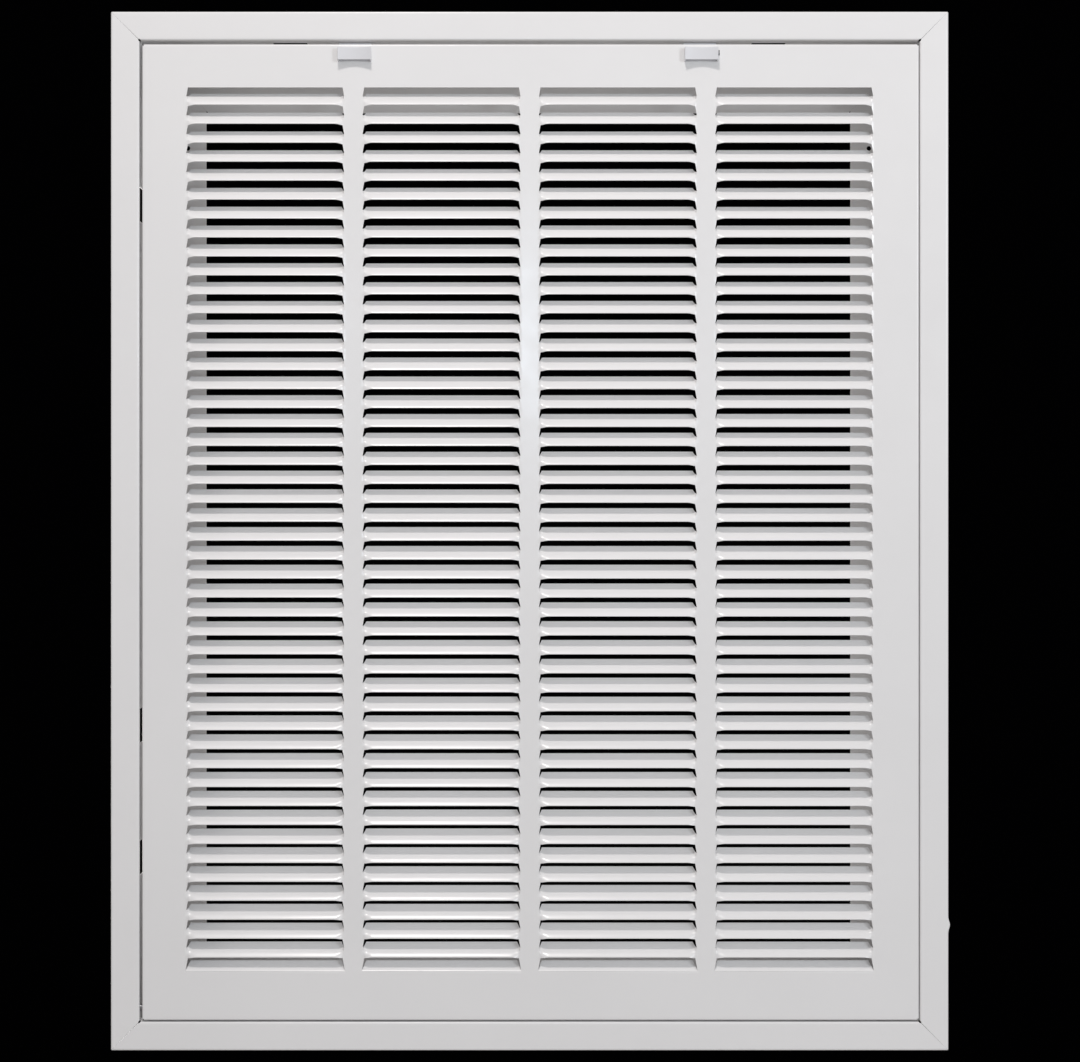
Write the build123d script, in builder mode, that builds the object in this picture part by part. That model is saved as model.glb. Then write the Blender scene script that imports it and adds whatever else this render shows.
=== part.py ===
from build123d import *
from math import cos, pi, radians, sin
import os

# Return air filter grille: a folded steel frame, a louvered door hinged at its bottom edge and two sliding
# latches. Millimetres. X is to the right, Z is up and the grille faces -Y. The origin is the middle of the
# four mounting screw holes, on the rear face of the lip that the filter rests against.

# Frame
FRAME_WIDTH = 562.0
FRAME_HEIGHT = 697.0
BORDER = 19.0  # visible flat round the door
RETURN_DEPTH = 5.5  # border's front to the return's free edge, which lies on the wall
NECK_DEPTH = 38.0  # border's front to the lip's rear face
SIDE_LIP = 40.3  # neck's inner face to the lip's free edge, left and right
END_LIP = 41.8  # the same at the top and the bottom
SHEET = 0.7  # painted sheet of the frame and the door
BEND = 0.4  # inside radius of every fold
MITRE_GAP = 0.05
CORNER_RELIEF = 1.2  # radius of the notch where the necks of two rails meet
CORNER_RELIEF_DEPTH = 10.0  # border's front to the notch's end

# Lanced windows in the neck, with the tabs that hold the filter
WINDOW_LENGTH = 23.0
WINDOW_FRONT = 9.5  # border's front to the window's front edge
WINDOW_DEPTH = 8.5  # along the neck, which is also the flat length of the tab
WINDOW_SLIT = 0.5  # cut on each side of a tab
WINDOW_X = 161.7  # windows of the top and bottom rails, each side of the middle
WINDOW_Z = 220.0  # windows of the side rails, above and below the middle

# Mounting holes in the rear lip
SCREW_HOLE = 3.2
SCREW_FROM_SIDE = 27.5  # from the neck's side walls
SCREW_FROM_END = 66.0  # from the neck's top and bottom walls

# Corner brackets and their rivets
BRACKET_LEG = 26.0
BRACKET_DEPTH = 20.0
BRACKET_SHEET = 1.2
BRACKET_FRONT = 12.0  # border's front to the bracket's front edge
RIVET = 3.2
RIVET_HEAD = 6.0
RIVET_HEAD_HEIGHT = 1.1
RIVET_TAIL = 4.8
RIVET_TAIL_HEIGHT = 0.7
RIVET_SIDES = 12
RIVET_FROM_CORNER = 15.0
RIVET_CLEARANCE = 0.05

# Door, and the gaps that the photo shows round it
GAP_LEFT = 2.0
GAP_RIGHT = 1.2
GAP_TOP = 2.9
GAP_BOTTOM = 1.3
DOOR_FLANGE = 7.4  # face's front to the flanges' free edges

# Louvers
COLUMNS = 4
ROWS = 47
COLUMN_PITCH = 118.3
ROW_PITCH = 12.7
CUT_WIDTH = 103.7  # straight cut of each louver
FIRST_CUT = 29.0  # door's top edge to the first cut
FIN_ABOVE = 9.4  # upper cut to the line about which the louver is turned
FIN_TILT = 47.7  # degrees out of the door's face
SHOULDER = 6.4  # drawn end of a louver, along its lower edge
SHOULDER_TILT = 29.0  # turn of the sheet part way along the drawn end
SHOULDER_SHARE = 0.35  # how far along the drawn end that is
SLIT_DROP = 6.0  # how far the slanted slit at each end runs below the cut
SLIT_SPREAD = 1.2  # how far it runs outward
SLIT_OPEN = 1.0  # how far a louver's free corner stands off the cut's end

# Hinge pins
PIN = 3.0
PIN_RISE = 8.0  # door's bottom edge to the pin
PIN_BACK = 4.5  # face's front to the pin
PIN_CLEARANCE = 0.08
PIN_HEAD = 5.0
PIN_HEAD_HEIGHT = 1.2
PIN_END = 4.6
PIN_END_HEIGHT = 1.0
PIN_END_CLEARANCE = 0.3

# Latches
LATCH_LEFT = -117.5
LATCH_RIGHT = 114.9
LATCH_CLEARANCE = 0.3  # round the slider
STOP_CLEARANCE = 0.15  # stem to the slot's ends, at each end of the travel
TAB_WIDTH = 22.3
TAB_HEIGHT = 8.9
TAB_PROUD = 5.2
TAB_DROP = 2.7  # door's top edge to the top of the tab
TAB_HOLLOW = 1.6  # of the tab's front, where a fingertip goes
TAB_SCOOP = 0.5  # hollow of the tab's lower edge
TAB_DRAFT = 1.0  # rise of the tab's underside towards its front
TAB_WALL = 0.9  # round the hollow that is open below and behind
TAB_CORE = 3.4  # height of that hollow
TAB_ROUND = 0.5
TAB_CHAMFER = 0.3
SLOT_WIDTH = 21.6
SLOT_HEIGHT = 3.6
SLOT_DROP = 4.0  # door's top edge to the slot
LEFT_SLOT_SHIFT = -0.2  # latch's middle to its slot's middle
RIGHT_SLOT_SHIFT = 1.8  # more, so that the slot's end shows beside the tab
STEM_WIDTH = 16.0
STEM_HEIGHT = 1.2
PLATE_THICK = 2.0
PLATE_DROP = 3.8  # door's top edge to the top of the slider's plate
PLATE_HEIGHT = 12.5
ARM_HEIGHT = 2.0  # foot that carries the tongue behind the plate
TONGUE_WIDTH = 24.0
TONGUE_THICK = 1.6
KEEPER_CLEARANCE = 0.4  # tongue to the keeper slot in the top rail

# Latch guides
GUIDE_SHEET = 0.7
GUIDE_BEND = 0.5
GUIDE_HEIGHT = 6.0
GUIDE_FOOT = 7.0
GUIDE_DROP = 5.5  # door's top edge to the top of the guide

half_width = FRAME_WIDTH / 2
half_height = FRAME_HEIGHT / 2
bay_x = half_width - BORDER
bay_z = half_height - BORDER
front = -NECK_DEPTH
fold = BEND + SHEET

door_left = GAP_LEFT - bay_x
door_right = bay_x - GAP_RIGHT
door_bottom = GAP_BOTTOM - bay_z
door_top = bay_z - GAP_TOP
door_width = door_right - door_left
door_height = door_top - door_bottom
door_x = (door_left + door_right) / 2
door_z = (door_bottom + door_top) / 2
door_back = front + SHEET

pin_y = front + PIN_BACK
pin_z = door_bottom + PIN_RISE

plate_front = door_back + LATCH_CLEARANCE
plate_back = plate_front + PLATE_THICK
tongue_front = front + DOOR_FLANGE + LATCH_CLEARANCE
tongue_back = tongue_front + TONGUE_THICK


def save(piece, name):
    """Labels a finished piece and writes it."""
    piece.label = name
    export_step(piece, f"parts/{name}.step")


def edge_section(edge, inward):
    """Section plane at an outer edge: x runs inward, y runs back and z runs along the edge."""
    return Plane(origin=edge, x_dir=inward, z_dir=Vector(inward).cross(Vector(0, 1, 0)))


def folded_strip(plane, points, radii, thickness, side, half_length):
    """Sheet folded along the points of a section plane, running the same way each side of it."""
    with BuildPart(mode=Mode.PRIVATE) as strip:
        with BuildSketch(plane):
            with BuildLine():
                FilletPolyline(*points, radius=radii)
                offset(amount=thickness, side=side)
            make_face()
        extrude(amount=half_length, both=True)
    return strip.part


# Holes of the frame


def rivet_planes():
    """Planes on the neck's inner faces, normals outward, at the middle of each corner rivet."""
    depth = front + BRACKET_FRONT + BRACKET_DEPTH / 2
    planes = []
    for right in (-1, 1):
        for up in (-1, 1):
            side_wall = (right * bay_x, depth, up * (bay_z - RIVET_FROM_CORNER))
            end_wall = (right * (bay_x - RIVET_FROM_CORNER), depth, up * bay_z)
            planes.append(Plane(side_wall, x_dir=(0, 1, 0), z_dir=(right, 0, 0)))
            planes.append(Plane(end_wall, x_dir=(0, 1, 0), z_dir=(0, 0, up)))
    return planes


with BuildPart() as frame_holes:
    with BuildSketch(Plane.XZ):
        with GridLocations(2 * (bay_x - SCREW_FROM_SIDE), 2 * (bay_z - SCREW_FROM_END), 2, 2):
            Circle(SCREW_HOLE / 2)
    extrude(amount=2 * SHEET, both=True)
    with BuildSketch(*rivet_planes()):
        RegularPolygon(RIVET / 2 + RIVET_CLEARANCE, RIVET_SIDES)
    extrude(amount=BRACKET_SHEET + 2 * SHEET, both=True)
    with BuildSketch(Plane.YZ.offset(-bay_x), Plane.YZ.offset(bay_x)):
        with Locations((pin_y, pin_z)):
            Circle(PIN / 2 + RIVET_CLEARANCE)
    extrude(amount=2 * SHEET, both=True)
    with BuildSketch(Plane.XY.offset(bay_z)):
        with Locations(*[(x, tongue_front + TONGUE_THICK / 2) for x in (LATCH_LEFT, LATCH_RIGHT)]):
            Rectangle(TONGUE_WIDTH + 2 * KEEPER_CLEARANCE, TONGUE_THICK + 2 * KEEPER_CLEARANCE)
    extrude(amount=2 * SHEET, both=True)


# Frame rails


def frame_rail(name, edge, inward, length, lip, window_places):
    """One folded rail of return, border, neck wall and rear lip, mitred at both ends."""
    section = edge_section(edge, inward)
    path = [
        (0, front + RETURN_DEPTH),
        (0, front),
        (BORDER, front),
        (BORDER, -SHEET),
        (BORDER + lip, -SHEET),
    ]
    window_back = front + WINDOW_FRONT + WINDOW_DEPTH
    tab_straight = WINDOW_DEPTH - (BEND + SHEET / 2) * pi / 2
    tab_path = [
        (BORDER, window_back + 2 * SHEET),
        (BORDER, window_back - BEND),
        (BORDER + BEND + tab_straight, window_back - BEND),
    ]
    with BuildPart() as rail:
        add(folded_strip(section, path, [fold, fold, BEND], SHEET, Side.LEFT, length / 2))
        for place in window_places:
            middle = section.offset(place)
            with BuildSketch(middle):
                with Locations((BORDER, window_back - WINDOW_DEPTH / 2)):
                    Rectangle(4 * SHEET, WINDOW_DEPTH)
            extrude(amount=WINDOW_LENGTH / 2, both=True, mode=Mode.SUBTRACT)
            add(folded_strip(middle, tab_path, [BEND], SHEET, Side.RIGHT, WINDOW_LENGTH / 2 - WINDOW_SLIT))
        for end in (-1, 1):
            along = section.z_dir * end
            corner = section.origin + along * (length / 2)
            split(bisect_by=Plane(corner, z_dir=section.x_dir + along).offset(-MITRE_GAP / 2), keep=Keep.BOTTOM)
            notch = corner + (section.x_dir - along) * BORDER + Vector(0, front, 0)
            with BuildSketch(Plane(notch, z_dir=(0, 1, 0))):
                Circle(CORNER_RELIEF)
            extrude(amount=CORNER_RELIEF_DEPTH, mode=Mode.SUBTRACT)
        add(frame_holes.part, mode=Mode.SUBTRACT)
    save(rail.part, name)


def corner_bracket(name, right, up):
    """An angle riveted outside a corner of the neck, over the mitre of its two walls."""
    corner = Vector(right * (bay_x + SHEET), front + BRACKET_FRONT, up * (bay_z + SHEET))
    with BuildPart() as bracket:
        with BuildSketch(Plane(corner, x_dir=(1, 0, 0), z_dir=(0, -1, 0))):
            with BuildLine():
                Polyline((-right * BRACKET_LEG, 0), (0, 0), (0, -up * BRACKET_LEG))
                offset(amount=BRACKET_SHEET, side=Side.LEFT if right * up > 0 else Side.RIGHT)
            make_face()
        extrude(amount=-BRACKET_DEPTH)
        add(frame_holes.part, mode=Mode.SUBTRACT)
    save(bracket.part, name)


def corner_rivets():
    """Rivets through the corner brackets and the neck, heads outside."""
    grip = SHEET + BRACKET_SHEET
    with BuildPart(mode=Mode.PRIVATE) as rivet:
        with BuildSketch():
            RegularPolygon(RIVET_HEAD / 2, RIVET_SIDES)
        with BuildSketch(Plane.XY.offset(RIVET_HEAD_HEIGHT)):
            RegularPolygon(RIVET / 2, RIVET_SIDES)
        loft(ruled=True)
        with BuildSketch():
            RegularPolygon(RIVET / 2, RIVET_SIDES)
        extrude(amount=-grip)
        with BuildSketch(Plane.XY.offset(-grip)):
            RegularPolygon(RIVET_TAIL / 2, RIVET_SIDES)
        extrude(amount=-RIVET_TAIL_HEIGHT)
    with BuildPart() as rivets:
        with Locations(*[plane.offset(grip) for plane in rivet_planes()]):
            add(rivet.part)
    save(rivets.part, "corner_rivets")


def hinge_pin(name, right, gap):
    """A pin riveted in the neck's side wall, on which a side flange of the door turns."""
    length = SHEET + gap + SHEET + PIN_END_CLEARANCE
    outline = [
        (0, PIN_HEAD_HEIGHT),
        (PIN / 2, PIN_HEAD_HEIGHT),
        (PIN_HEAD / 2, 0),
        (PIN / 2, 0),
        (PIN / 2, -length),
        (PIN_END / 2, -length),
        (PIN_END / 2, -length - PIN_END_HEIGHT),
        (0, -length - PIN_END_HEIGHT),
    ]
    with BuildPart(mode=Mode.PRIVATE) as pin:
        with BuildSketch(Plane.XZ):
            with BuildLine():
                Polyline(*outline, close=True)
            make_face()
        revolve(axis=Axis.Z)
    outside = (right * (bay_x + SHEET), pin_y, pin_z)
    with BuildPart() as hinge:
        with Locations(Plane(outside, x_dir=(0, 1, 0), z_dir=(right, 0, 0))):
            add(pin.part)
    save(hinge.part, name)


# Door


def sheet_points(x, above, tilt):
    """Front and back of the door's sheet at a distance above a louver's turning line, once turned."""
    turn = radians(tilt)
    middle = Vector(x, above * sin(turn), above * cos(turn))
    out = Vector(0, -cos(turn), sin(turn)) * (SHEET / 2)
    return middle + out, middle - out


def facet(*corners):
    """A flat face with the given corners."""
    return Face(Wire.make_polygon(corners))


def facets_between(one, other):
    """Two triangles for each side of the sheet between two stations of four points."""
    faces = []
    for index in range(4):
        following = (index + 1) % 4
        faces.append(facet(one[index], one[following], other[following]))
        faces.append(facet(one[index], other[following], other[index]))
    return faces


def louver(stations):
    """One louver: flat facets from each station of the sheet to the next, closed at both ends.

    A station is the upper and the lower point of the sheet there, each as (x, distance above the turning
    line, tilt). It is given for the right half, from the end to the middle, and mirrored.
    """
    rings = []
    for side in (1, -1):
        half = []
        for (upper_x, upper, upper_tilt), (lower_x, lower, lower_tilt) in stations:
            top_front, top_back = sheet_points(side * upper_x, upper, upper_tilt)
            low_front, low_back = sheet_points(side * lower_x, lower, lower_tilt)
            half.append([top_front, top_back, low_back, low_front])
        rings += half if side == 1 else half[::-1]
    faces = []
    for end in (rings[0], rings[-1]):
        faces += [facet(end[0], end[1], end[2]), facet(end[0], end[2], end[3])]
    middle = len(stations)
    for index in range(1, len(rings)):
        one, other = rings[index - 1], rings[index]
        if index == middle:
            corners = [(edge, (edge + 1) % 4) for edge in range(4)]
            faces += [facet(one[a], one[b], other[b], other[a]) for a, b in corners]
        else:
            faces += facets_between(one, other)
    return Solid(Shell(faces))


def between(start, end, share):
    """The point a share of the way from start to end."""
    return start + (end - start) * share


def louver_stations():
    """Stations of a full louver: flat in the face, part way up the shoulder, and fully turned."""
    below = FIN_ABOVE - ROW_PITCH
    slit_x = CUT_WIDTH / 2 + SLIT_SPREAD
    slit_above = FIN_ABOVE - SLIT_DROP
    free_x = CUT_WIDTH / 2 - SLIT_OPEN
    lower_x = CUT_WIDTH / 2 - SHOULDER
    middle_upper = between(slit_x, free_x, SHOULDER_SHARE)
    middle_above = between(slit_above, FIN_ABOVE, SHOULDER_SHARE)
    middle_lower = between(CUT_WIDTH / 2, lower_x, SHOULDER_SHARE)
    return [
        ((slit_x, slit_above, 0), (CUT_WIDTH / 2, below, 0)),
        ((middle_upper, middle_above, SHOULDER_TILT), (middle_lower, below, SHOULDER_TILT)),
        ((free_x, FIN_ABOVE, FIN_TILT), (lower_x, below, FIN_TILT)),
    ]


def column_outline(x, cuts):
    """Outline of a column's opening: the first straight cut, the slits of each louver and the last fold."""
    cut = CUT_WIDTH / 2
    last_x = cut + SLIT_SPREAD / SLIT_DROP * FIN_ABOVE
    side = []
    for z in cuts[:-1]:
        side += [(cut, z), (cut + SLIT_SPREAD, z - SLIT_DROP)]
    side += [(cut, cuts[-1]), (last_x, cuts[-1] - FIN_ABOVE)]
    return [(x + reach, z) for reach, z in side] + [(x - reach, z) for reach, z in side[::-1]]


def door_panel():
    """The stamped door: louvered face, folded flanges, latch slots and hinge holes."""
    first_cut = door_top - FIRST_CUT
    columns = [(column - (COLUMNS - 1) / 2) * COLUMN_PITCH for column in range(COLUMNS)]
    cuts = [first_cut - row * ROW_PITCH for row in range(ROWS)]
    full_louver = louver(louver_stations())
    free_x = CUT_WIDTH / 2 - SLIT_OPEN
    last_x = CUT_WIDTH / 2 + SLIT_SPREAD / SLIT_DROP * FIN_ABOVE
    last_louver = louver([((free_x, FIN_ABOVE, FIN_TILT), (last_x, 0, 0))])
    middle_y = front + SHEET / 2
    slot_z = door_top - SLOT_DROP - SLOT_HEIGHT / 2
    with BuildPart() as door:
        with BuildSketch(Plane((0, front, 0), x_dir=(1, 0, 0), z_dir=(0, -1, 0))):
            with Locations((door_x, door_z)):
                Rectangle(door_width - 2 * fold, door_height - 2 * fold)
            for x in columns:
                with BuildLine():
                    Polyline(*column_outline(x, cuts), close=True)
                make_face(mode=Mode.SUBTRACT)
            with Locations((LATCH_LEFT + LEFT_SLOT_SHIFT, slot_z), (LATCH_RIGHT + RIGHT_SLOT_SHIFT, slot_z)):
                Rectangle(SLOT_WIDTH, SLOT_HEIGHT, mode=Mode.SUBTRACT)
        extrude(amount=-SHEET)
        flange_path = [(0, front + DOOR_FLANGE), (0, front), (2 * fold, front)]
        for edge, inward, length in [
            ((door_x, 0, door_top), (0, 0, -1), door_width),
            ((door_x, 0, door_bottom), (0, 0, 1), door_width),
            ((door_left, 0, door_z), (1, 0, 0), door_height),
            ((door_right, 0, door_z), (-1, 0, 0), door_height),
        ]:
            section = edge_section(edge, inward)
            add(folded_strip(section, flange_path, [fold], SHEET, Side.LEFT, length / 2 - fold))
        with BuildSketch(Plane.YZ.offset(door_left), Plane.YZ.offset(door_right)):
            with Locations((pin_y, pin_z)):
                Circle(PIN / 2 + PIN_CLEARANCE)
        extrude(amount=2 * SHEET, both=True, mode=Mode.SUBTRACT)
        with Locations(*[(x, middle_y, z - FIN_ABOVE) for x in columns for z in cuts[:-1]]):
            add(full_louver)
        with Locations(*[(x, middle_y, cuts[-1] - FIN_ABOVE) for x in columns]):
            add(last_louver)
    save(door.part, "door_panel")


# Latches


def latch(name, x):
    """One moulding: finger tab, stem through the door's slot, plate, and a tongue behind the door's flange."""
    tab_top = door_top - TAB_DROP
    tab_bottom = tab_top - TAB_HEIGHT
    tab_back = front - LATCH_CLEARANCE
    tab_front = front - TAB_PROUD
    half_tab = TAB_WIDTH / 2
    stem_z = door_top - SLOT_DROP - SLOT_HEIGHT + STOP_CLEARANCE + STEM_HEIGHT / 2
    plate_top = door_top - PLATE_DROP
    arm_bottom = plate_top - PLATE_HEIGHT
    tip_z = bay_z - LATCH_CLEARANCE
    with BuildPart() as slider:
        with BuildSketch(Plane((x, tab_back, 0), x_dir=(1, 0, 0), z_dir=(0, -1, 0))):
            with BuildLine():
                Polyline((-half_tab, tab_bottom), (-half_tab, tab_top), (half_tab, tab_top), (half_tab, tab_bottom))
                ThreePointArc((half_tab, tab_bottom), (0, tab_bottom + TAB_SCOOP), (-half_tab, tab_bottom))
            make_face()
        extrude(amount=TAB_PROUD - LATCH_CLEARANCE)
        fillet(slider.edges().filter_by(Axis.Y), TAB_ROUND)
        with BuildSketch(Plane((x, 0, tab_bottom))):
            with BuildLine():
                Polyline((half_tab, tab_front), (half_tab, tab_back), (-half_tab, tab_back), (-half_tab, tab_front))
                ThreePointArc((-half_tab, tab_front), (0, tab_front + TAB_HOLLOW), (half_tab, tab_front))
            make_face()
        extrude(amount=TAB_HEIGHT, mode=Mode.INTERSECT)
        with BuildSketch(Plane.YZ.offset(x)):
            with BuildLine():
                Polyline(
                    (tab_back, tab_top),
                    (tab_front, tab_top),
                    (tab_front, tab_bottom + TAB_DRAFT),
                    (tab_back, tab_bottom),
                    close=True,
                )
            make_face()
        extrude(amount=half_tab, both=True, mode=Mode.INTERSECT)
        chamfer(slider.faces().sort_by(Axis.Y)[0].edges(), TAB_CHAMFER)
        with BuildSketch(Plane((x, 0, tab_bottom))):
            with BuildLine():
                inside, inside_front = half_tab - TAB_WALL, tab_front + TAB_WALL
                Polyline((inside, inside_front), (inside, tab_back), (-inside, tab_back), (-inside, inside_front))
                ThreePointArc((-inside, inside_front), (0, inside_front + TAB_HOLLOW), (inside, inside_front))
            make_face()
        extrude(amount=TAB_CORE, mode=Mode.SUBTRACT)
        with BuildSketch(Plane((x, front - TAB_PROUD / 2, stem_z), x_dir=(1, 0, 0), z_dir=(0, -1, 0))):
            Rectangle(STEM_WIDTH, STEM_HEIGHT)
        extrude(amount=-(plate_back - front + TAB_PROUD / 2))
        with BuildSketch(Plane.YZ.offset(x)):
            with BuildLine():
                Polyline(
                    (plate_front, plate_top),
                    (plate_back, plate_top),
                    (plate_back, arm_bottom + ARM_HEIGHT),
                    (tongue_front, arm_bottom + ARM_HEIGHT),
                    (tongue_front, tip_z),
                    (tongue_back, tip_z),
                    (tongue_back, arm_bottom),
                    (plate_front, arm_bottom),
                    close=True,
                )
            make_face()
        extrude(amount=TONGUE_WIDTH / 2, both=True)
        tip = slider.faces().sort_by(Axis.Z)[-1].edges().filter_by(Axis.X)
        chamfer(tip, TONGUE_THICK / 4)
    save(slider.part, name)


def latch_guide(name, x):
    """A folded strap, welded by its feet behind the door's face, in which the slider runs."""
    inside = TONGUE_WIDTH / 2 + LATCH_CLEARANCE
    leg = inside + GUIDE_SHEET
    foot_y = door_back + GUIDE_SHEET
    bridge_y = plate_back + LATCH_CLEARANCE + GUIDE_SHEET
    path = [
        (-leg - GUIDE_FOOT, foot_y),
        (-leg, foot_y),
        (-leg, bridge_y),
        (leg, bridge_y),
        (leg, foot_y),
        (leg + GUIDE_FOOT, foot_y),
    ]
    outer = GUIDE_BEND + GUIDE_SHEET
    radii = [GUIDE_BEND, outer, outer, GUIDE_BEND]
    middle = Plane((x, 0, door_top - GUIDE_DROP - GUIDE_HEIGHT / 2))
    save(folded_strip(middle, path, radii, GUIDE_SHEET, Side.RIGHT, GUIDE_HEIGHT / 2), name)


os.makedirs("parts", exist_ok=True)

frame_rail("frame_top_rail", (0, 0, half_height), (0, 0, -1), FRAME_WIDTH, END_LIP, (-WINDOW_X, WINDOW_X))
frame_rail("frame_bottom_rail", (0, 0, -half_height), (0, 0, 1), FRAME_WIDTH, END_LIP, (-WINDOW_X, WINDOW_X))
frame_rail("frame_left_rail", (-half_width, 0, 0), (1, 0, 0), FRAME_HEIGHT, SIDE_LIP, (-WINDOW_Z, WINDOW_Z))
frame_rail("frame_right_rail", (half_width, 0, 0), (-1, 0, 0), FRAME_HEIGHT, SIDE_LIP, (-WINDOW_Z, WINDOW_Z))

corner_bracket("bracket_top_left", -1, 1)
corner_bracket("bracket_top_right", 1, 1)
corner_bracket("bracket_bottom_left", -1, -1)
corner_bracket("bracket_bottom_right", 1, -1)
corner_rivets()

hinge_pin("hinge_pin_left", -1, GAP_LEFT)
hinge_pin("hinge_pin_right", 1, GAP_RIGHT)

door_panel()

latch("latch_left", LATCH_LEFT)
latch("latch_right", LATCH_RIGHT)
latch_guide("latch_guide_left", LATCH_LEFT)
latch_guide("latch_guide_right", LATCH_RIGHT)
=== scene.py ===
import random
from math import cos, exp, pi, radians, sin

import bmesh
import bpy
from mathutils import Matrix, Vector


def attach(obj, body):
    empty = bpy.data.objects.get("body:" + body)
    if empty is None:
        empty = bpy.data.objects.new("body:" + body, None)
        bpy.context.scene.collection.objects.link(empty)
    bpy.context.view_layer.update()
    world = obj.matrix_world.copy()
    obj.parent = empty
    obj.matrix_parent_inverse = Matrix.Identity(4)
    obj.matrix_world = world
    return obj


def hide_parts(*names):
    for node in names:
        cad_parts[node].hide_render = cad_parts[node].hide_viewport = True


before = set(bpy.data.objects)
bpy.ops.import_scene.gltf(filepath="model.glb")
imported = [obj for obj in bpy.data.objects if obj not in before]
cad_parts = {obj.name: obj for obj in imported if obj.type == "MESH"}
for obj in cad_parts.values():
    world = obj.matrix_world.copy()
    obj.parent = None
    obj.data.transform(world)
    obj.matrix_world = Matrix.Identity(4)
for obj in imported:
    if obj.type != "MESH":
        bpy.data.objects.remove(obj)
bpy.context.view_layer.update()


# Frame rails
# The frame is four folded rails of painted sheet steel: a return that lies on the wall, the flat border that
# shows, the neck and the lip that the filter rests against. They are stoved in one semi-gloss white enamel,
# which flows out with a faint orange peel.

def node_material(name):
    """A new node material, its tree and its shader."""
    material = bpy.data.materials.new(name)
    material.use_nodes = True
    tree = material.node_tree
    return material, tree, tree.nodes["Principled BSDF"]


def add_node(tree, kind, **inputs):
    """A node of this kind with these inputs set."""
    node = tree.nodes.new(kind)
    for key, value in inputs.items():
        node.inputs[key.replace("_", " ")].default_value = value
    return node


def mottled(tree, coordinates, scale, low, high, detail=2.0):
    """A noise of this scale per metre, spread between two values."""
    noise = add_node(tree, "ShaderNodeTexNoise", Scale=scale, Detail=detail)
    tree.links.new(coordinates, noise.inputs["Vector"])
    spread = add_node(tree, "ShaderNodeMapRange", From_Min=0.3, From_Max=0.7, To_Min=low, To_Max=high)
    tree.links.new(noise.outputs["Fac"], spread.inputs["Value"])
    return spread.outputs["Result"]


def enamel(name, colour):
    """Baked white enamel: slight mottling of tone and gloss, orange peel, and pooling a few mm wide."""
    material, tree, shader = node_material(name)
    where = tree.nodes.new("ShaderNodeTexCoord").outputs["Object"]
    thin = add_node(tree, "ShaderNodeMix")
    thin.data_type = "RGBA"
    thin.inputs["A"].default_value = (*[0.975 * part for part in colour], 1)
    thin.inputs["B"].default_value = (*colour, 1)
    tree.links.new(mottled(tree, where, 9.0, 0.0, 1.0, 3.0), thin.inputs["Factor"])
    tree.links.new(thin.outputs["Result"], shader.inputs["Base Color"])
    tree.links.new(mottled(tree, where, 60.0, 0.20, 0.27), shader.inputs["Roughness"])
    peel = add_node(tree, "ShaderNodeTexNoise", Scale=700.0, Detail=2.0, Roughness=0.55)
    pool = add_node(tree, "ShaderNodeTexNoise", Scale=95.0, Detail=1.0)
    for noise in (peel, pool):
        tree.links.new(where, noise.inputs["Vector"])
    pooling = add_node(tree, "ShaderNodeBump", Strength=0.25, Distance=0.00012)
    tree.links.new(pool.outputs["Fac"], pooling.inputs["Height"])
    peeling = add_node(tree, "ShaderNodeBump", Strength=0.35, Distance=0.00003)
    tree.links.new(peel.outputs["Fac"], peeling.inputs["Height"])
    tree.links.new(pooling.outputs["Normal"], peeling.inputs["Normal"])
    tree.links.new(peeling.outputs["Normal"], shader.inputs["Normal"])
    shader.inputs["Specular IOR Level"].default_value = 0.5
    return material


def finish_piece(name, mesh, material, bevel, steps):
    """A finished piece from a mesh in millimetres: smooth, with its sharp edges rounded by a modifier."""
    bmesh.ops.scale(mesh, vec=(0.001, 0.001, 0.001), verts=mesh.verts)
    for face in mesh.faces:
        face.smooth = True
    data = bpy.data.meshes.new(name)
    mesh.to_mesh(data)
    mesh.free()
    data.materials.append(material)
    piece = bpy.data.objects.new(name, data)
    bpy.context.scene.collection.objects.link(piece)
    rounded = piece.modifiers.new("rounded_edges", "BEVEL")
    rounded.width = bevel / 1000
    rounded.segments = steps
    rounded.limit_method = "ANGLE"
    rounded.angle_limit = radians(40)
    rounded.harden_normals = True
    return piece


def thicken(piece):
    """Gives a sheet's middle surface its thickness, before the edges are rounded."""
    thickness = piece.modifiers.new("sheet", "SOLIDIFY")
    thickness.thickness = SHEET / 1000
    thickness.offset = 0.0
    thickness.use_even_offset = True
    piece.modifiers.move(1, 0)


def arc(across, depth, start, end, steps=5):
    """Middle of the sheet round a fold, as points of a section."""
    radius = BEND + SHEET / 2
    turns = [start + (end - start) * step / steps for step in range(steps + 1)]
    return [(across + radius * cos(turn), depth + radius * sin(turn)) for turn in turns]


def add_strip(mesh, line, stations, to_place, kept):
    """A sheet swept along these stations, without the faces that kept() leaves out."""
    rows, columns = len(line) - 1, len(stations) - 1
    grid = bmesh.ops.create_grid(mesh, x_segments=columns, y_segments=rows, size=1.0)["verts"]
    for vert in grid:
        along = stations[round((vert.co.x + 1) / 2 * columns)]
        vert.co = (*line[round((vert.co.y + 1) / 2 * rows)], along)
    faces = {face for vert in grid for face in vert.link_faces}
    pierced = [face for face in faces if not kept(*face.calc_center_median())]
    bmesh.ops.delete(mesh, geom=pierced, context="FACES")
    for vert in grid:
        if vert.is_valid:
            vert.co = to_place(*vert.co)


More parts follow.
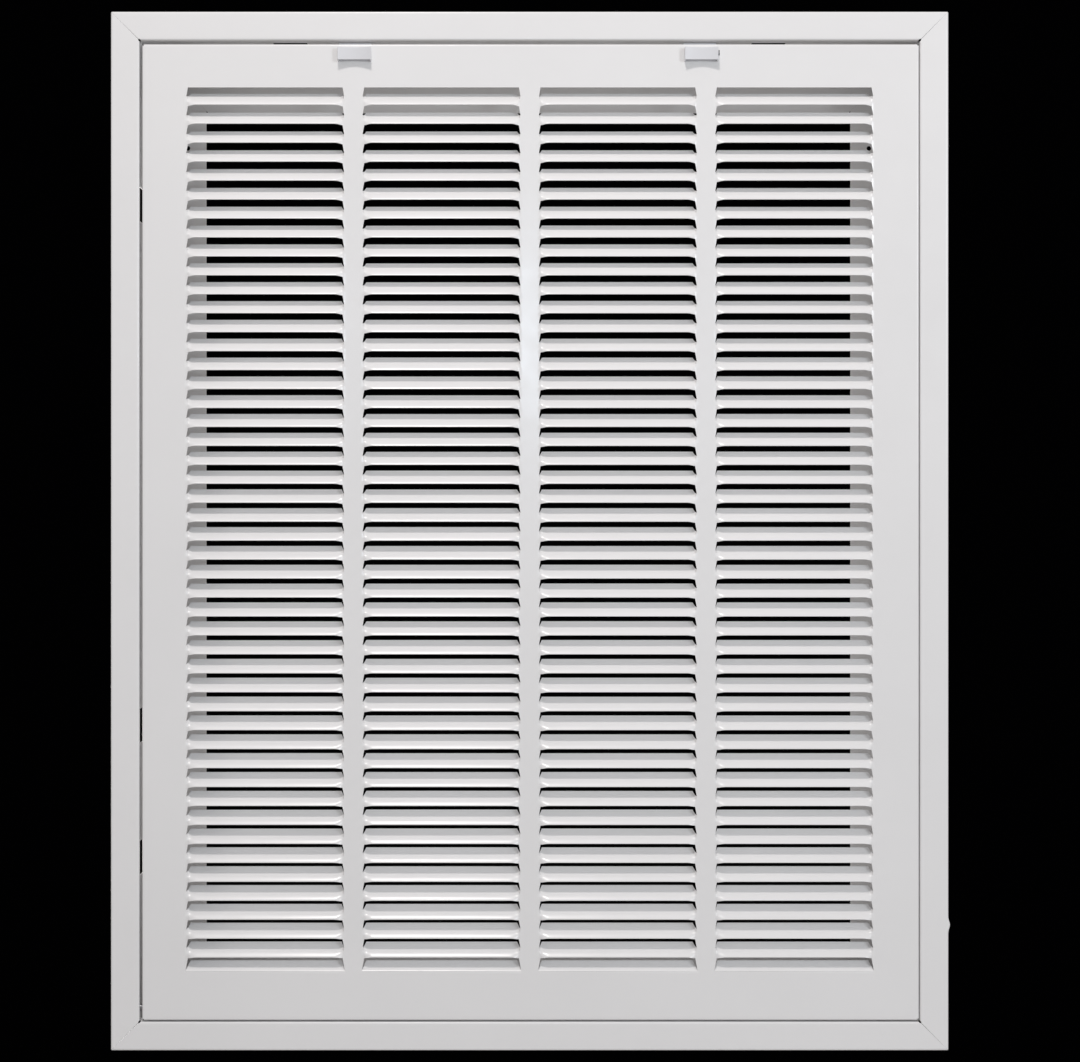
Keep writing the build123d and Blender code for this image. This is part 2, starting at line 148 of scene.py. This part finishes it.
def screw_hole(mesh, along, to_place):
    """The square of the lip round a screw hole."""
    square = bmesh.ops.create_grid(mesh, x_segments=1, y_segments=1, size=HOLE_SQUARE)["verts"]
    rim = bmesh.ops.create_circle(mesh, segments=20, radius=SCREW_HOLE)["verts"]
    bmesh.ops.delete(mesh, geom=list(square[0].link_faces), context="FACES_ONLY")
    edges = {edge for vert in (*square, *rim) for edge in vert.link_edges}
    bmesh.ops.triangle_fill(mesh, use_beauty=True, edges=list(edges))
    for vert in (*square, *rim):
        vert.co = to_place(SCREW_ACROSS + vert.co.x, -SHEET / 2, along + vert.co.y)


SHEET, BEND = 0.7, 0.4
FOLD = BEND + SHEET
FACE = -38.0
HALF_WIDTH, HALF_HEIGHT, BORDER = 281.0, 348.5, 19.0
RETURN_END = FACE + 5.5
SIDE_LIP, END_LIP = BORDER + 40.3, BORDER + 41.8
MITRE = 0.025  # each side of the joint
MITRE_WEDGE = 0.14  # how much more each side of the border stands off at the inner corner
NOTCH, NOTCH_END, NOTCH_LEDGE = 0.8, FACE + 10.0, 0.3
WINDOW_FRONT, WINDOW_BACK, HALF_WINDOW, TAB_SLIT = FACE + 9.5, FACE + 18.0, 11.5, 0.5
LEFT_WINDOW_FRONT = FACE + 3.0  # those of the left rail show as black bars beside the door
END_WINDOWS, RIGHT_WINDOWS, LEFT_WINDOWS = (-161.7, 161.7), (-220.0, 220.0), (-220.0, -131.0, 220.0)
KEEPER_FRONT, KEEPER_BACK, HALF_KEEPER = FACE + 7.3, FACE + 9.7, 12.4
LATCH_PLACES = (-117.5, 114.9)
SCREW_ACROSS, SCREW_ALONG, SCREW_HOLE, HOLE_SQUARE = BORDER + 27.5, 263.5, 1.6, 4.0
SCREW_PLACES = (-SCREW_ALONG, SCREW_ALONG)
DENT_ALONG, DENT_OUT, DENT_SPREAD, DENT_REACH = -264.4, 1.3, 3.0, 5.0
EASE = 1.2  # strip of a flat beside a fold, which keeps the rest of the flat's shading even
RAIL_EDGE = 0.06  # rounding of the sheet's edges
MERGE, NEAR = 0.001, 0.01  # points this close are merged, and places this close count as the same


def add_rail(name, half_length, lip_end, to_place, windows, window_front=WINDOW_FRONT, keepers=(), screws=(),
             dent=False):
    """One folded rail, mitred at its ends, with its windows, their tabs and its holes."""
    neck = BORDER - SHEET / 2
    openings = [(mid - HALF_WINDOW, mid + HALF_WINDOW, window_front, WINDOW_BACK) for mid in windows]
    openings += [(mid - HALF_KEEPER, mid + HALF_KEEPER, KEEPER_FRONT, KEEPER_BACK) for mid in keepers]
    tab_ends = [mid + side * (HALF_WINDOW - TAB_SLIT) for mid in windows for side in (-1, 1)]
    squares = [mid + side * HOLE_SQUARE for mid in screws for side in (-1, 1)]
    dents = [DENT_ALONG + step * DENT_SPREAD / 2 for step in range(-6, 7)] if dent else []
    edges = {edge for opening in openings for edge in opening[:2]}
    stations = [-half_length, *sorted({*edges, *tab_ends, *squares, *dents}), half_length]
    line = [(SHEET / 2, RETURN_END), *arc(FOLD, FACE + FOLD, pi, 1.5 * pi)]
    line += [(FOLD + EASE, FACE + SHEET / 2), (BORDER - FOLD - EASE, FACE + SHEET / 2)]
    line += arc(BORDER - FOLD, FACE + FOLD, 1.5 * pi, 2 * pi)
    depths = {edge for opening in openings for edge in opening[2:]} | {NOTCH_END, NOTCH_END + NOTCH_LEDGE}
    line += [(neck, depth) for depth in sorted(depths)]
    line += arc(BORDER + BEND, -FOLD, pi, pi / 2)
    line += [(SCREW_ACROSS + side * HOLE_SQUARE, -SHEET / 2) for side in (-1, 1)] + [(lip_end, -SHEET / 2)]

    def mitred(across, depth, along):
        """Where a point of the section lies, drawn back from a corner to its mitre and notch."""
        if abs(along) == half_length:
            back = across + MITRE
            if depth < FACE + FOLD:
                back += MITRE_WEDGE * max(0.0, 2 * across / BORDER - 1)
            if BORDER - NOTCH < across < BORDER and depth <= NOTCH_END:
                back = BORDER + (NOTCH ** 2 - (BORDER - across) ** 2) ** 0.5
            along -= back if along > 0 else -back
        reach = max(0.0, 1 - across / DENT_REACH)
        if dent:
            across -= DENT_OUT * reach * exp(-((along - DENT_ALONG) / DENT_SPREAD) ** 2)
        return to_place(across, depth, along)

    def kept(across, depth, along):
        """True where the sheet isn't pierced."""
        if abs(across - neck) < NEAR:
            return not any(a < along < b and front < depth < back for a, b, front, back in openings)
        beside = abs(across - SCREW_ACROSS) < HOLE_SQUARE
        return not (beside and any(abs(along - mid) < HOLE_SQUARE for mid in screws))

    mesh = bmesh.new()
    add_strip(mesh, line, stations, mitred, kept)
    straight = WINDOW_BACK - WINDOW_FRONT - (BEND + SHEET / 2) * pi / 2
    tab_line = arc(BORDER + BEND, WINDOW_BACK, pi, 1.5 * pi)
    tab_line.append((tab_line[-1][0] + straight, tab_line[-1][1]))
    for start, end in zip(tab_ends[::2], tab_ends[1::2]):
        add_strip(mesh, tab_line, (start, end), to_place, lambda *point: True)
    for mid in screws:
        screw_hole(mesh, mid, to_place)
    bmesh.ops.remove_doubles(mesh, verts=mesh.verts, dist=MERGE)
    bmesh.ops.recalc_face_normals(mesh, faces=mesh.faces)
    rail = finish_piece(name, mesh, white_enamel, RAIL_EDGE, 2)
    thicken(rail)
    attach(rail, "frame")
    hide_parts("frame_" + name)


white_enamel = enamel("white_enamel", (0.88, 0.876, 0.876))
add_rail("top_rail", HALF_WIDTH, END_LIP,
         lambda across, depth, along: (along, depth, HALF_HEIGHT - across), END_WINDOWS, keepers=LATCH_PLACES)
add_rail("bottom_rail", HALF_WIDTH, END_LIP,
         lambda across, depth, along: (along, depth, across - HALF_HEIGHT), END_WINDOWS)
add_rail("left_rail", HALF_HEIGHT, SIDE_LIP,
         lambda across, depth, along: (across - HALF_WIDTH, depth, along), LEFT_WINDOWS, LEFT_WINDOW_FRONT,
         screws=SCREW_PLACES)
add_rail("right_rail", HALF_HEIGHT, SIDE_LIP,
         lambda across, depth, along: (HALF_WIDTH - across, depth, along), RIGHT_WINDOWS,
         screws=SCREW_PLACES, dent=True)


# Corner brackets and latch guides
# Bare galvanised sheet: an angle riveted outside each corner of the neck, and a folded strap behind each
# latch. Zinc crystals a few millimetres across give it its spangle.

def galvanised(name):
    """Zinc spangle: crystals that differ in tone and gloss, with a grain of fine scratches."""
    material, tree, shader = node_material(name)
    where = tree.nodes.new("ShaderNodeTexCoord").outputs["Object"]
    crystals = add_node(tree, "ShaderNodeTexVoronoi", Scale=260.0)
    tree.links.new(where, crystals.inputs["Vector"])
    tone = add_node(tree, "ShaderNodeValToRGB")
    tone.color_ramp.elements[0].color = (0.47, 0.48, 0.50, 1)
    tone.color_ramp.elements[1].color = (0.66, 0.67, 0.69, 1)
    tree.links.new(crystals.outputs["Color"], tone.inputs["Fac"])
    tree.links.new(tone.outputs["Color"], shader.inputs["Base Color"])
    gloss = add_node(tree, "ShaderNodeMapRange", To_Min=0.32, To_Max=0.52)
    tree.links.new(crystals.outputs["Color"], gloss.inputs["Value"])
    tree.links.new(gloss.outputs["Result"], shader.inputs["Roughness"])
    scratch = add_node(tree, "ShaderNodeBump", Strength=0.2, Distance=0.00002)
    tree.links.new(mottled(tree, where, 2400.0, 0.0, 1.0), scratch.inputs["Height"])
    tree.links.new(scratch.outputs["Normal"], shader.inputs["Normal"])
    shader.inputs["Metallic"].default_value = 1.0
    return material


def dress(node, material):
    """Gives every slot of a CAD node this material."""
    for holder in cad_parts[node].material_slots:
        holder.material = material


zinc_spangle = galvanised("zinc_spangle")
for sheet in ("bracket_top_left", "bracket_top_right", "bracket_bottom_left", "bracket_bottom_right",
              "latch_guide_left", "latch_guide_right"):
    dress(sheet, zinc_spangle)


# Corner rivets and hinge pins
# Aluminium rivets hold the corner brackets to the neck, and two plated steel pins carry the door. Both are
# turned or headed parts with a fine matt skin. The pins' steel is darker than its own tone, as painted shade
# of their gap.

def headed_metal(name, colour, dull):
    """Headed wire: fine mottling of gloss and slight pitting."""
    material, tree, shader = node_material(name)
    where = tree.nodes.new("ShaderNodeTexCoord").outputs["Object"]
    shader.inputs["Base Color"].default_value = (*colour, 1)
    shader.inputs["Metallic"].default_value = 1.0
    tree.links.new(mottled(tree, where, 900.0, dull - 0.08, dull + 0.08), shader.inputs["Roughness"])
    pits = add_node(tree, "ShaderNodeBump", Strength=0.25, Distance=0.00003)
    tree.links.new(mottled(tree, where, 1800.0, 0.0, 1.0), pits.inputs["Height"])
    tree.links.new(pits.outputs["Normal"], shader.inputs["Normal"])
    return material


dress("corner_rivets", headed_metal("rivet_aluminium", (0.72, 0.73, 0.74), 0.38))
# dull plated steel, its colour darkened as painted shade of the dark gap the hinge pins sit in
plated_steel_with_painted_shade = headed_metal("plated_steel_with_painted_shade", (0.36, 0.36, 0.37), 0.45)
for pin in ("hinge_pin_left", "hinge_pin_right"):
    dress(pin, plated_steel_with_painted_shade)


# Louvered door
# One sheet of steel, lanced and drawn into four columns of louvers and folded back all round, then enamelled
# like the frame. Each louver is a strip of the sheet between two cuts, turned about a line in the face, with
# a rounded shoulder and a short slanted slit at each end.

MIDDLE = FACE + SHEET / 2
DOOR_LEFT, DOOR_RIGHT = -260.0, 261.2
DOOR_BOTTOM, DOOR_TOP = -328.2, 326.6
FLANGE_END = FACE + 7.4
COLUMN_PITCH, ROW_PITCH, ROWS = 118.3, 12.7, 47
FIRST_CUT = DOOR_TOP - 29.0
HALF_CUT = 103.7 / 2
FIN_ABOVE = 9.4
FIN_BELOW = FIN_ABOVE - ROW_PITCH
FIN_TILT = 47.7
SHOULDER = 6.4
DRAW, DRAW_ABOVE = 2.2, 3.2  # how soon a shoulder has turned, at its lower edge and towards the slit
DRAW_EASE, DRAW_START = 0.22, 0.55
SLIT_DROP, SLIT_SPREAD, SLIT_OPEN = 6.0, 1.2, 1.0
STATIONS, STRIP_HEIGHTS = 6, (0.0, 0.09, 0.4, 0.7, 1.0)
CURL = 25.0  # how much the sheared edge turns down
CREASE, CREASE_STEPS = 1.2, 4  # bend of the last flap
TILT_SPREAD = 0.7  # no louver is turned quite like the next
DOOR_EDGE = 0.26  # rounding of the edges, thick with enamel
COLUMN_PLACES = [(column - 1.5) * COLUMN_PITCH for column in range(4)]
CUTS = [FIRST_CUT - row * ROW_PITCH for row in range(ROWS)]
LAST_FOLD = CUTS[-1] - FIN_ABOVE
LAST_HALF = HALF_CUT + SLIT_SPREAD / SLIT_DROP * FIN_ABOVE


def turned(share, height, tilt):
    """The sheet's turn on a louver's drawn shoulder: slow along its lower edge, quick beside the slit."""
    quick = DRAW + DRAW_ABOVE * height * height
    soft = min(share / DRAW_EASE, 1.0)
    ease = DRAW_START + (1 - DRAW_START) * soft * soft * (3 - 2 * soft)
    return radians(tilt) * (1 - (1 - share) ** quick) * (ease + (1 - ease) * height)


def on_strip(share, height, tilt):
    """Where a point of the turned strip lies: across, back and above its turning line."""
    upper = Vector((HALF_CUT + SLIT_SPREAD, FIN_ABOVE - SLIT_DROP)).lerp(
        Vector((HALF_CUT - SLIT_OPEN, FIN_ABOVE)), share)
    lower = Vector((HALF_CUT, FIN_BELOW)).lerp(Vector((HALF_CUT - SHOULDER, FIN_BELOW)), share)
    across, above = lower.lerp(upper, height)
    turn = turned(share, height, tilt)
    return Vector((across, above * sin(turn), above * cos(turn)))


def add_louver(sheet, x, z, tilt):
    """A grid of the sheet over one strip, drawn to its shoulders and turned, its sheared edge curled down."""
    rows = len(STRIP_HEIGHTS) - 1
    grid = bmesh.ops.create_grid(sheet, x_segments=2 * STATIONS + 1, y_segments=rows, size=1.0)["verts"]
    columns = sorted({round(vert.co.x, 4) for vert in grid})
    for vert in grid:
        index = columns.index(round(vert.co.x, 4))
        side = -1 if index <= STATIONS else 1
        share = min(index, 2 * STATIONS + 1 - index) / STATIONS
        row = round((vert.co.y + 1) / 2 * rows)
        across, back, above = on_strip(share, STRIP_HEIGHTS[row], tilt)
        if row == 0:
            root = on_strip(share, STRIP_HEIGHTS[1], tilt)
            curl = Matrix.Rotation(CURL / tilt * turned(share, 0, tilt), 3, "X")
            across, back, above = root + curl @ (Vector((across, back, above)) - root)
        vert.co = (x + side * across, MIDDLE + back, z + above)


def add_last_louver(sheet, x, tilt):
    """The flap below the last cut, bent in along a straight line over a small radius."""
    rows = CREASE_STEPS + 1
    grid = bmesh.ops.create_grid(sheet, x_segments=1, y_segments=rows, size=1.0)["verts"]
    turn = radians(tilt)
    for vert in grid:
        row = round((vert.co.y + 1) / 2 * rows)
        side = 1 if vert.co.x > 0 else -1
        bent = min(row / CREASE_STEPS, 1.0)
        half = LAST_HALF - SLIT_SPREAD / SLIT_DROP * CREASE * bent
        back = CREASE / turn * (1 - cos(turn * bent))
        up = CREASE / turn * sin(turn * bent)
        if row == rows:
            half = HALF_CUT - SLIT_OPEN
            back += (FIN_ABOVE - CREASE) * sin(turn)
            up += (FIN_ABOVE - CREASE) * cos(turn)
        vert.co = (x + side * half, MIDDLE + back, LAST_FOLD + up)


def side_points(x, side):
    """The zigzag of cut ends and slit ends down one side of a column, with the louvers' points between."""
    points = []
    for z in CUTS[:-1]:
        points.append((x + side * HALF_CUT, z))
        for height in STRIP_HEIGHTS[:0:-1]:
            across = HALF_CUT + SLIT_SPREAD * height
            points.append((x + side * across, z - ROW_PITCH + (ROW_PITCH - SLIT_DROP) * height))
    return points + [(x + side * HALF_CUT, CUTS[-1]), (x + side * LAST_HALF, LAST_FOLD)]


def flat(sheet, points):
    """One flat of the door's face."""
    return sheet.faces.new([sheet.verts.new((x, MIDDLE, z)) for x, z in points])


def ladder(sheet, one, other):
    """The upright flats between two rows of points at the same heights."""
    for index in range(1, len(one)):
        flat(sheet, [one[index - 1], one[index], other[index], other[index - 1]])


def slice_faces(sheet, faces, point, normal):
    """Cuts these faces by a plane and returns all of their parts."""
    edges = {edge for face in faces for edge in face.edges}
    verts = {vert for face in faces for vert in face.verts}
    everything = [*faces, *edges, *verts]
    parts = bmesh.ops.bisect_plane(sheet, geom=everything, dist=1e-5, plane_co=point, plane_no=normal)
    return [part for part in parts["geom"] if isinstance(part, bmesh.types.BMFace)]


def punch(sheet, faces, low, high):
    """Cuts a box-shaped hole in these flat faces. An axis where low equals high isn't cut."""
    for axis in range(3):
        for value in {low[axis], high[axis]}:
            if low[axis] != high[axis]:
                normal = Vector((0, 0, 0))
                normal[axis] = 1
                faces = slice_faces(sheet, faces, normal * value, normal)
    inside = []
    for face in faces:
        middle = face.calc_center_median()
        if all(low[axis] == high[axis] or low[axis] < middle[axis] < high[axis] for axis in range(3)):
            inside.append(face)
    bmesh.ops.delete(sheet, geom=inside, context="FACES")
    return [face for face in faces if face.is_valid]


def fold_back(sheet, edges, centre, axis):
    """Folds a flange back from these edges over the bend and out to its free edge."""
    bent = bmesh.ops.spin(sheet, geom=edges, cent=centre, axis=axis, angle=pi / 2, steps=6)
    last = [part for part in bent["geom_last"] if isinstance(part, bmesh.types.BMEdge)]
    out = bmesh.ops.extrude_edge_only(sheet, edges=last)["geom"]
    verts = [part for part in out if isinstance(part, bmesh.types.BMVert)]
    bmesh.ops.translate(sheet, verts=verts, vec=(0, FLANGE_END - FACE - FOLD, 0))


SLOT_PLACES, HALF_SLOT = (-117.7, 116.7), 10.8
SLOT_LOW, SLOT_HIGH = DOOR_TOP - 7.6, DOOR_TOP - 4.0
left, right = DOOR_LEFT + FOLD, DOOR_RIGHT - FOLD
bottom, top = DOOR_BOTTOM + FOLD, DOOR_TOP - FOLD
bend_depth = FACE + FOLD
door = bmesh.new()

edges_of_columns = [(x + side * HALF_CUT, FIRST_CUT) for x in COLUMN_PLACES for side in (-1, 1)]
top_flat = flat(door, [(right, top), (left, top), (left, FIRST_CUT), *edges_of_columns, (right, FIRST_CUT)])
folds = [(x + side * LAST_HALF, LAST_FOLD) for x in COLUMN_PLACES for side in (-1, 1)]
flat(door, [(left, bottom), (right, bottom), (right, LAST_FOLD), *folds[::-1], (left, LAST_FOLD)])
sides = [side_points(x, side) for x in COLUMN_PLACES for side in (-1, 1)]
sides = [[(left, z) for x, z in sides[0]], *sides, [(right, z) for x, z in sides[0]]]
for one, other in zip(sides[::2], sides[1::2]):
    ladder(door, one, other)

random.seed(47)
for x in COLUMN_PLACES:
    for z in CUTS[:-1]:
        add_louver(door, x, z - FIN_ABOVE, FIN_TILT + random.uniform(-TILT_SPREAD, TILT_SPREAD))
    add_last_louver(door, x, FIN_TILT)
bmesh.ops.remove_doubles(door, verts=door.verts, dist=NEAR)

for outward, fold_line, pivot, turn_axis in (
    (2, top, (0, bend_depth, top), (-1, 0, 0)),
    (2, bottom, (0, bend_depth, bottom), (1, 0, 0)),
    (0, left, (left, bend_depth, 0), (0, 0, -1)),
    (0, right, (right, bend_depth, 0), (0, 0, 1)),
):
    rim = [edge for edge in door.edges if edge.is_boundary and abs(edge.verts[0].co.y - MIDDLE) < NEAR
           and all(abs(vert.co[outward] - fold_line) < NEAR for vert in edge.verts)]
    fold_back(door, rim, pivot, turn_axis)
tops = [top_flat]  # the flat above the first cuts, in as many parts as the slots cut it into
for x in SLOT_PLACES:
    tops = punch(door, tops, (x - HALF_SLOT, 0, SLOT_LOW), (x + HALF_SLOT, 0, SLOT_HIGH))

for z in (top - EASE, FIRST_CUT + EASE, LAST_FOLD - EASE, bottom + EASE):
    slice_faces(door, list(door.faces), (0, 0, z), (0, 0, 1))
mullion_edges = [x + side * (HALF_CUT + 2 * EASE) for x in COLUMN_PLACES for side in (-1, 1)]
for x in (left + EASE, *mullion_edges, right - EASE):
    slice_faces(door, list(door.faces), (x, 0, 0), (1, 0, 0))

bmesh.ops.recalc_face_normals(door, faces=door.faces)
louvered_door = finish_piece("louvered_door", door, white_enamel, DOOR_EDGE, 2)
thicken(louvered_door)
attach(louvered_door, "door")
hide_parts("door_panel")


# Latches
# Two sliders moulded in white plastic. The finger tab stands out of the door's face with a hollow front and
# is cored from below. Its stem passes the slot to a plate, whose foot carries the tongue behind the flange.

def moulded(name, colour):
    """Moulded plastic: a fine spark-eroded texture and slight unevenness of gloss."""
    material, tree, shader = node_material(name)
    where = tree.nodes.new("ShaderNodeTexCoord").outputs["Object"]
    shader.inputs["Base Color"].default_value = (*colour, 1)
    tree.links.new(mottled(tree, where, 300.0, 0.36, 0.46), shader.inputs["Roughness"])
    grain = add_node(tree, "ShaderNodeBump", Strength=0.3, Distance=0.00002)
    tree.links.new(mottled(tree, where, 2600.0, 0.0, 1.0), grain.inputs["Height"])
    tree.links.new(grain.outputs["Normal"], shader.inputs["Normal"])
    return material


def add_prism(mesh, outline, start, end):
    """A prism of a section in depth and height, from one place across to another."""
    cap = mesh.faces.new([mesh.verts.new((start, depth, z)) for depth, z in outline])
    pushed = bmesh.ops.extrude_face_region(mesh, geom=[cap])["geom"]
    far = [part for part in pushed if isinstance(part, bmesh.types.BMVert)]
    bmesh.ops.translate(mesh, verts=far, vec=(end - start, 0, 0))


TAB_TOP, TAB_BOTTOM = DOOR_TOP - 2.7, DOOR_TOP - 12.0
TAB_HALF, TAB_PROUD, TAB_HOLLOW = 11.15, 5.2, 1.6
TAB_SCOOP, TAB_DRAFT, TAB_WALL, TAB_BACK, TAB_CORE = 0.5, 0.7, 0.9, 0.6, 3.8
TAB_STEPS = 8  # on each side of the tab's middle
CLEAR = 0.3
PLATE_FRONT, PLATE_BACK = FACE + SHEET + CLEAR, FACE + SHEET + CLEAR + 2.0
PLATE_TOP, FOOT_TOP, FOOT_BOTTOM = DOOR_TOP - 3.8, DOOR_TOP - 14.3, DOOR_TOP - 16.3
TONGUE_FRONT, TONGUE_BACK = FLANGE_END + CLEAR, FLANGE_END + CLEAR + 1.6
TONGUE_TIP = HALF_HEIGHT - BORDER - CLEAR
STEM_BOTTOM, STEM_TOP = DOOR_TOP - 7.45, DOOR_TOP - 6.25
STEM_FRONT, STEM_BACK = FACE - 2.6, PLATE_BACK - 0.5
HALF_STEM, HALF_HOOK = 8.0, 11.1
LATCH_EDGE = 0.3  # rounding of the moulding's edges


def tab_ring(mesh, x, share, cored):
    """The tab's section at a share of its half width, whole or cored from below."""
    middle = 1 - share * share
    proud = TAB_PROUD - TAB_HOLLOW * middle
    low = TAB_BOTTOM + TAB_SCOOP * middle
    slope = TAB_DRAFT / (TAB_PROUD - CLEAR)
    depths = (-proud, TAB_WALL - proud, -CLEAR - TAB_BACK)
    front, wall, back = [(depth, low - slope * (depth + CLEAR)) for depth in depths]
    roof = TAB_BOTTOM + TAB_CORE
    core = [(wall[0], roof), (back[0], roof)] if cored else [wall, back]
    ring = [(-CLEAR, TAB_TOP), (-proud, TAB_TOP), front, wall, *core, back, (-CLEAR, low)]
    return [mesh.verts.new((x + TAB_HALF * share, FACE + depth, z)) for depth, z in ring]


latch_plastic = moulded("latch_plastic", (0.74, 0.745, 0.77))
for name, x in zip(("latch_left", "latch_right"), LATCH_PLACES):
    mesh = bmesh.new()
    inner = 1 - TAB_WALL / TAB_HALF
    shares = [inner * step / TAB_STEPS for step in range(-TAB_STEPS, TAB_STEPS + 1)]
    shares = [-1, -inner, *shares, inner, 1]
    rings = [tab_ring(mesh, x, share, 1 < index < len(shares) - 2) for index, share in enumerate(shares)]
    mesh.faces.new(rings[0])
    mesh.faces.new(rings[-1][::-1])
    for one, other in zip(rings, rings[1:]):
        for index in range(len(one)):
            mesh.faces.new([one[index - 1], one[index], other[index], other[index - 1]])
    bmesh.ops.remove_doubles(mesh, verts=mesh.verts, dist=MERGE)
    stem = [(STEM_FRONT, STEM_TOP), (STEM_FRONT, STEM_BOTTOM),
            (STEM_BACK, STEM_BOTTOM), (STEM_BACK, STEM_TOP)]
    add_prism(mesh, stem, x - HALF_STEM, x + HALF_STEM)
    hook = [(PLATE_FRONT, PLATE_TOP), (PLATE_FRONT, FOOT_BOTTOM), (TONGUE_BACK, FOOT_BOTTOM),
            (TONGUE_BACK, TONGUE_TIP), (TONGUE_FRONT, TONGUE_TIP), (TONGUE_FRONT, FOOT_TOP),
            (PLATE_BACK, FOOT_TOP), (PLATE_BACK, PLATE_TOP)]
    add_prism(mesh, hook, x - HALF_HOOK, x + HALF_HOOK)
    bmesh.ops.recalc_face_normals(mesh, faces=mesh.faces)
    latch = finish_piece(name + "_moulding", mesh, latch_plastic, LATCH_EDGE, 3)
    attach(latch, name)
    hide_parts(name)


# Room
# The grille hangs in the air before a dark backdrop, over a pale floor. One lamp stands above and in front,
# a softer one at the right and one behind, and a small one gives the sheen on the middle of the door.

def plain(name, colour, dull, gloss=0.3):
    """A plain matt surface for the room."""
    material, tree, shader = node_material(name)
    shader.inputs["Specular IOR Level"].default_value = gloss
    shader.inputs["Base Color"].default_value = (*colour, 1)
    shader.inputs["Roughness"].default_value = dull
    return material


def stage_plane(name, half_size, matrix, material):
    """A flat of the room, square, turned and placed by a matrix."""
    mesh = bmesh.new()
    bmesh.ops.create_grid(mesh, x_segments=1, y_segments=1, size=half_size, matrix=matrix)
    data = bpy.data.meshes.new(name)
    mesh.to_mesh(data)
    mesh.free()
    plane = bpy.data.objects.new(name, data)
    bpy.context.scene.collection.objects.link(plane)
    data.materials.append(material)


FLOOR_Z, HALF_FLOOR = -1.3, 6.0
BACKDROP_Y, HALF_BACKDROP = 2.4, 2.6
stage_plane("floor", HALF_FLOOR, Matrix.Translation((0, 0, FLOOR_Z)),
            plain("pale_floor", (0.76, 0.75, 0.735), 0.6))
upright = Matrix.Translation((0, BACKDROP_Y, FLOOR_Z + HALF_BACKDROP)) @ Matrix.Rotation(pi / 2, 4, "X")
stage_plane("backdrop", HALF_BACKDROP, upright, plain("dark_cloth", (0.0008, 0.0008, 0.001), 1.0, 0.0))

world = bpy.data.worlds.new("room")
world.use_nodes = True
world.node_tree.nodes["Background"].inputs["Color"].default_value = (1.0, 0.955, 0.94, 1)
world.node_tree.nodes["Background"].inputs["Strength"].default_value = 0.42
bpy.context.scene.world = world


def lamp(name, place_at, aim, size, watts, colour):
    """A round area lamp aimed at a point."""
    light = bpy.data.lights.new(name, "AREA")
    light.shape = "DISK"
    light.size = size
    light.energy = watts
    light.color = colour
    holder = bpy.data.objects.new(name, light)
    bpy.context.scene.collection.objects.link(holder)
    holder.location = place_at
    holder.rotation_euler = (Vector(aim) - Vector(place_at)).to_track_quat("-Z", "Y").to_euler()


lamp("key", (-0.15, -1.03, 1.57), (0, 0, 0), 0.2, 12.4, (1.0, 0.955, 0.93))
lamp("fill", (1.3, -1.85, 0.48), (0, 0, 0), 0.5, 10.8, (0.88, 0.94, 1.0))
lamp("sheen", (0.033, -1.54, 0.27), (0, 0, 0.12), 0.20, 1.7, (0.74, 0.87, 1.0))
lamp("back", (-0.9, 1.7, -0.35), (0, 0, 0), 0.9, 9.0, (1.0, 0.98, 0.96))

PHOTO_WIDE = 0.7245  # metres across the picture, in the plane of the border
CAMERA_OUT, CAMERA_ACROSS, CAMERA_SHIFT = 1.41, -0.0333, 0.0555
SENSOR = 36.0
camera = bpy.data.cameras.new("camera")
camera.sensor_width = SENSOR
camera.lens = SENSOR * CAMERA_OUT / PHOTO_WIDE
camera.shift_x = CAMERA_SHIFT
camera.clip_start = 0.05
camera_holder = bpy.data.objects.new("camera", camera)
bpy.context.scene.collection.objects.link(camera_holder)
camera_holder.location = (CAMERA_ACROSS, FACE / 1000 - CAMERA_OUT, 0.0)
camera_holder.rotation_euler = (pi / 2, 0, 0)
bpy.context.scene.camera = camera_holder
bpy.context.scene.view_settings.view_transform = "Standard"
